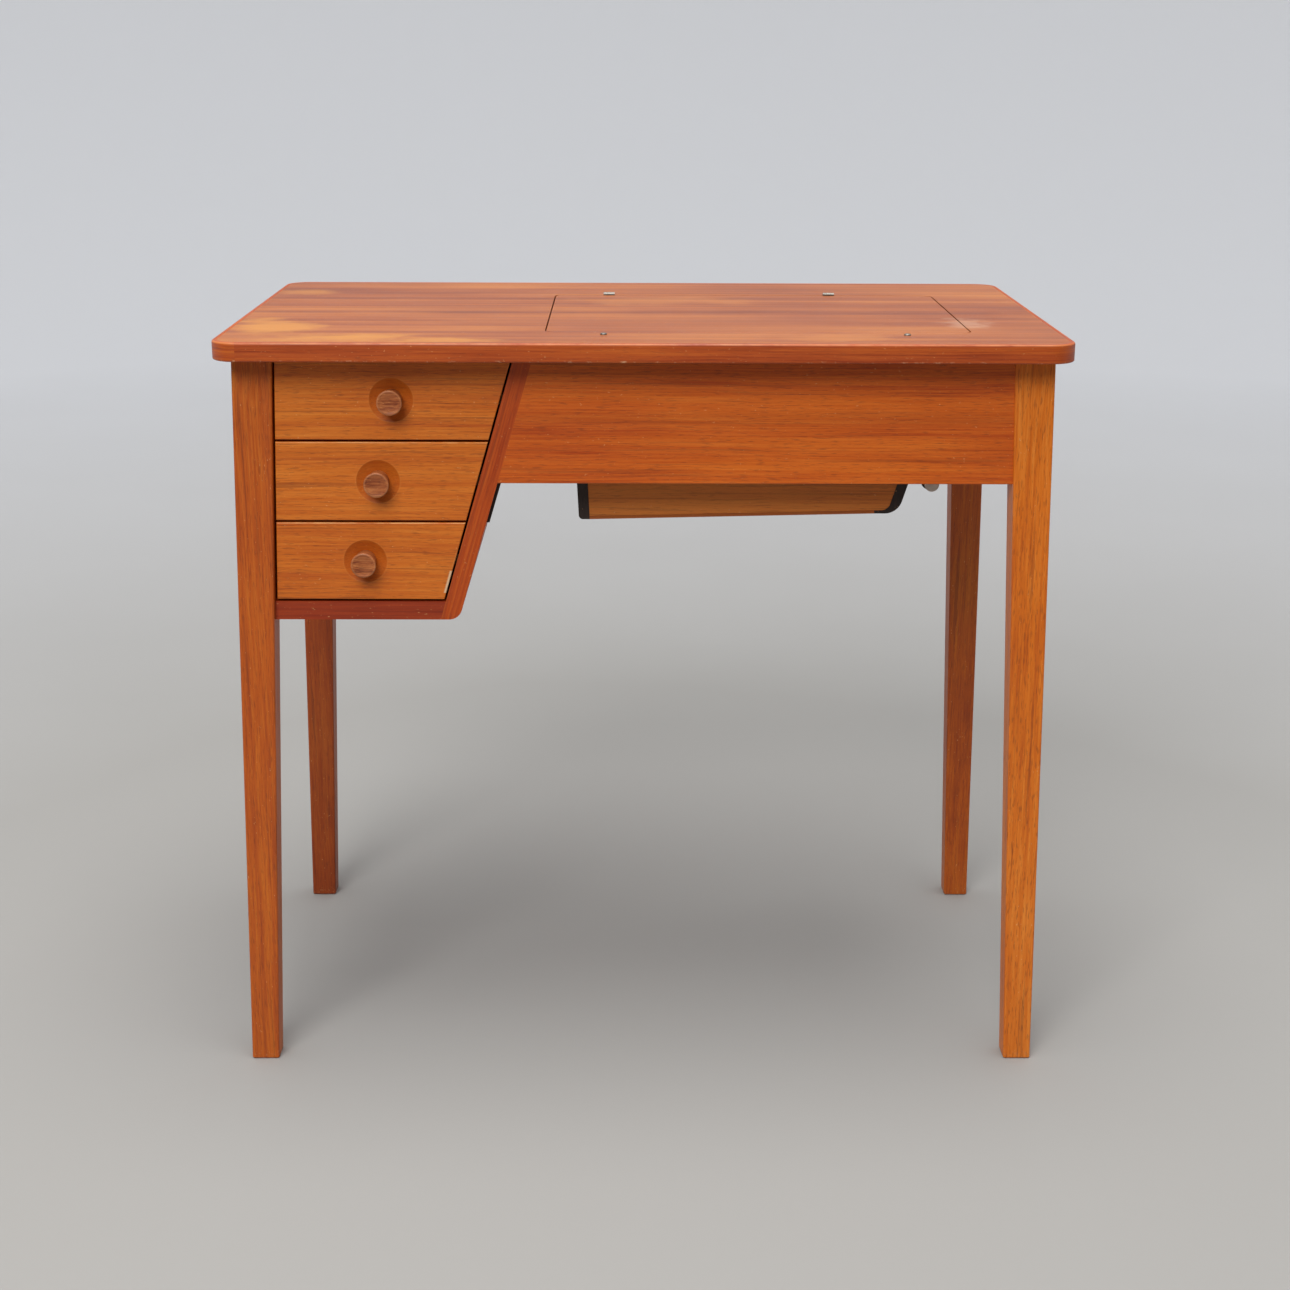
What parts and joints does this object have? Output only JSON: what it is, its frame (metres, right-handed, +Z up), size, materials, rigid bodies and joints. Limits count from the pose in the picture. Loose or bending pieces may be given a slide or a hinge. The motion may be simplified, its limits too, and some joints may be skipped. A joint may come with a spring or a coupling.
{
  "type": "sewing table",
  "caption": "Small teak sewing table on splayed tapered legs, with a hinged lid over a machine well and a cabinet of turned-knob drawers against a leaning panel.",
  "frame": {"origin": "on the floor, under the middle of the top", "axes": "+X along the length, away from the drawers; -Y towards the person seated at the table; +Z up"},
  "size_m": [0.798, 0.466, 0.7391],
  "materials": {
    "teak_top": "satin lacquered teak veneer, reddish brown with paler worn patches",
    "teak_lipping": "solid teak lipping, satin, worn edges",
    "teak_veneer": "satin teak veneer, orange brown",
    "teak_drawers": "satin teak veneer, fine level grain",
    "teak_legs": "solid teak, oiled",
    "red_mahogany": "red stained solid wood, satin",
    "walnut": "turned walnut, satin",
    "beech": "bare beech",
    "plywood": "thin brown plywood",
    "dark_stain": "near-black stained board, matte",
    "steel": "worn steel",
    "black_rubber": "matte black"
  },
  "bodies": {
    "table": {"back_apron": "teak_veneer", "back_ledge": "beech", "cabinet_back": "teak_veneer", "cabinet_bottom": "red_mahogany", "cabinet_left_side": "teak_veneer", "corner_blocks": "beech", "edge_lipping": "teak_lipping", "frame_dowels": "beech", "front_apron": "teak_veneer", "front_ledge": "beech", "hinge_pins": "steel", "hinge_table_leaves": "steel", "hinge_table_screws": "steel", "hook_pad": "black_rubber", "hook_screws": "steel", "leaning_panel": "red_mahogany", "ledge_screws": "steel", "left_ledge": "beech", "left_runners": "beech", "leg_back_left": "teak_legs", "leg_back_right": "teak_legs", "leg_front_left": "teak_legs", "leg_front_right": "teak_legs", "lid_studs": "steel", "machine_hook": "steel", "panel_liner": "dark_stain", "right_apron": "teak_veneer", "right_ledge": "beech", "right_runners": "beech", "table_top": "teak_top", "well_back": "plywood", "well_bottom": "dark_stain", "well_front": "plywood", "well_left_end": "dark_stain", "well_right_end": "dark_stain"},
    "lid": {"lid": "teak_top", "hinge_lid_leaves": "steel", "hinge_lid_screws": "steel"},
    "top_drawer": {"drawer_top_front": "teak_drawers", "drawer_top_left_side": "beech", "drawer_top_right_side": "beech", "drawer_top_back": "beech", "drawer_top_bottom": "plywood", "drawer_top_knob": "walnut", "drawer_top_knob_screw": "steel"},
    "middle_drawer": {"drawer_middle_front": "teak_drawers", "drawer_middle_left_side": "beech", "drawer_middle_right_side": "beech", "drawer_middle_back": "beech", "drawer_middle_bottom": "plywood", "drawer_middle_knob": "walnut", "drawer_middle_knob_screw": "steel"},
    "bottom_drawer": {"drawer_bottom_front": "teak_drawers", "drawer_bottom_left_side": "beech", "drawer_bottom_right_side": "beech", "drawer_bottom_back": "beech", "drawer_bottom_bottom": "plywood", "drawer_bottom_knob": "walnut", "drawer_bottom_knob_screw": "steel"}
  },
  "joints": [
    {"name": "lid_hinge", "type": "hinge", "parent": "table", "child": "lid", "pos_m": [0.0825, 0.1219, 0.7368], "axis": [-1, 0, 0], "range_deg": [0, 180]},
    {"name": "top_drawer_slide", "type": "slide", "parent": "table", "child": "top_drawer", "axis": [0, -1, 0], "range_m": [0, 0.28]},
    {"name": "middle_drawer_slide", "type": "slide", "parent": "table", "child": "middle_drawer", "axis": [0, -1, 0], "range_m": [0, 0.28]},
    {"name": "bottom_drawer_slide", "type": "slide", "parent": "table", "child": "bottom_drawer", "axis": [0, -1, 0], "range_m": [0, 0.28]}
  ]
}
